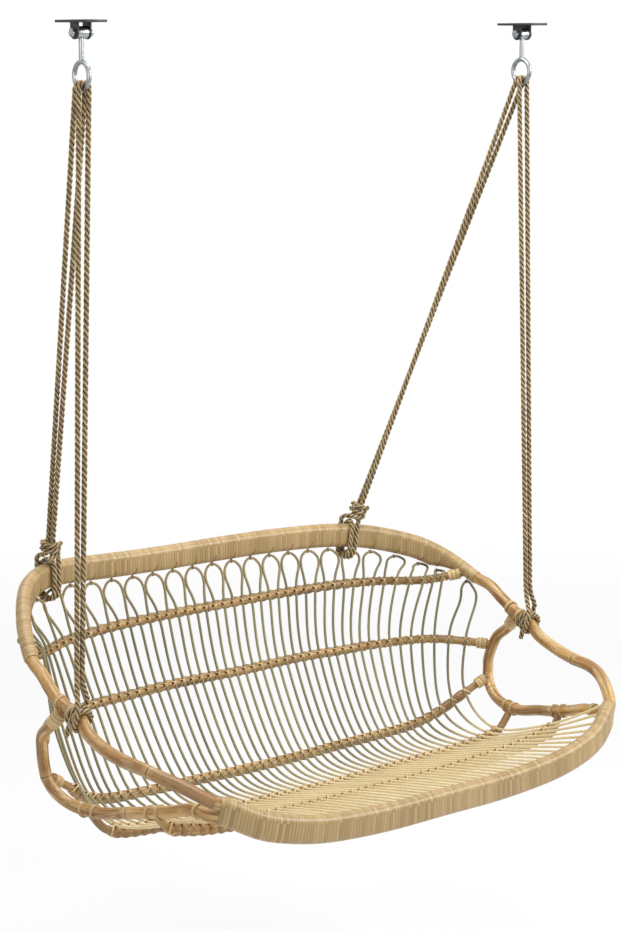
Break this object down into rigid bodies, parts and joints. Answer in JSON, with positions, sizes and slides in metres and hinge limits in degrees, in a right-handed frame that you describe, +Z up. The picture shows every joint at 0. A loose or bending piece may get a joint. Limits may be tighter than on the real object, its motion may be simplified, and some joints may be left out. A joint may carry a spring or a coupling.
{
  "type": "hanging bench",
  "caption": "Hanging rattan bench: bent pole frame, fan of hairpin rods as back and seat, jute ropes to two ceiling hangers.",
  "frame": {"origin": "centre of the rectangle of the four ceiling screw holes, on the ceiling plane", "axes": "+Z up, +Y to the back of the bench, +X to the right as seen from the front"},
  "size_m": [1.2806, 0.8084, 1.6601],
  "materials": {
    "pole_rattan": "honey-coloured rattan poles, thin varnish",
    "rod_rattan": "straw-coloured rattan core rods",
    "flat_cane": "pale flat cane binding",
    "jute_rope": "three-strand brown jute rope",
    "bracket_steel": "black painted steel plate",
    "zinc_steel": "zinc-plated steel"
  },
  "bodies": {
    "ceiling_hangers": {"ceiling_bracket_left": "bracket_steel", "ceiling_bracket_right": "bracket_steel", "pivot_bolt_left": "zinc_steel", "pivot_bolt_right": "zinc_steel", "pivot_nut_left": "zinc_steel", "pivot_nut_right": "zinc_steel"},
    "swing": {"swing_eye_left": "zinc_steel", "swing_eye_right": "zinc_steel", "front_rope_left": "jute_rope", "front_rope_right": "jute_rope", "rear_rope_left": "jute_rope", "rear_rope_right": "jute_rope", "front_hitch_left": "jute_rope", "front_hitch_right": "jute_rope", "rear_hitch_left": "jute_rope", "rear_hitch_right": "jute_rope", "rear_knot_left": "jute_rope", "rear_knot_right": "jute_rope", "top_pole": "pole_rattan", "top_second_pole": "pole_rattan", "top_cane_wrap": "flat_cane", "arm_left": "pole_rattan", "arm_right": "pole_rattan", "front_pole": "pole_rattan", "front_second_pole": "pole_rattan", "front_cane_wrap": "flat_cane", "side_frame_left": "pole_rattan", "side_frame_right": "pole_rattan", "back_rail_upper": "pole_rattan", "back_rail_middle": "pole_rattan", "back_rail_lower": "pole_rattan", "seat_rail_rear": "pole_rattan", "seat_rail_front": "pole_rattan", "hairpins_left": "rod_rattan", "hairpins_middle": "rod_rattan", "hairpins_right": "rod_rattan", "ties_back_upper": "flat_cane", "ties_back_middle": "flat_cane", "ties_back_lower": "flat_cane", "ties_seat_rear": "flat_cane", "ties_seat_front": "flat_cane", "arch_ties": "flat_cane", "joint_wraps_left": "flat_cane", "joint_wraps_right": "flat_cane", "side_bindings_left": "flat_cane", "side_bindings_right": "flat_cane"}
  },
  "joints": [
    {"name": "swing_pivot", "type": "hinge", "parent": "ceiling_hangers", "child": "swing", "pos_m": [0, 0, -0.024], "axis": [1, 0, 0], "range_deg": [-25, 25]}
  ]
}
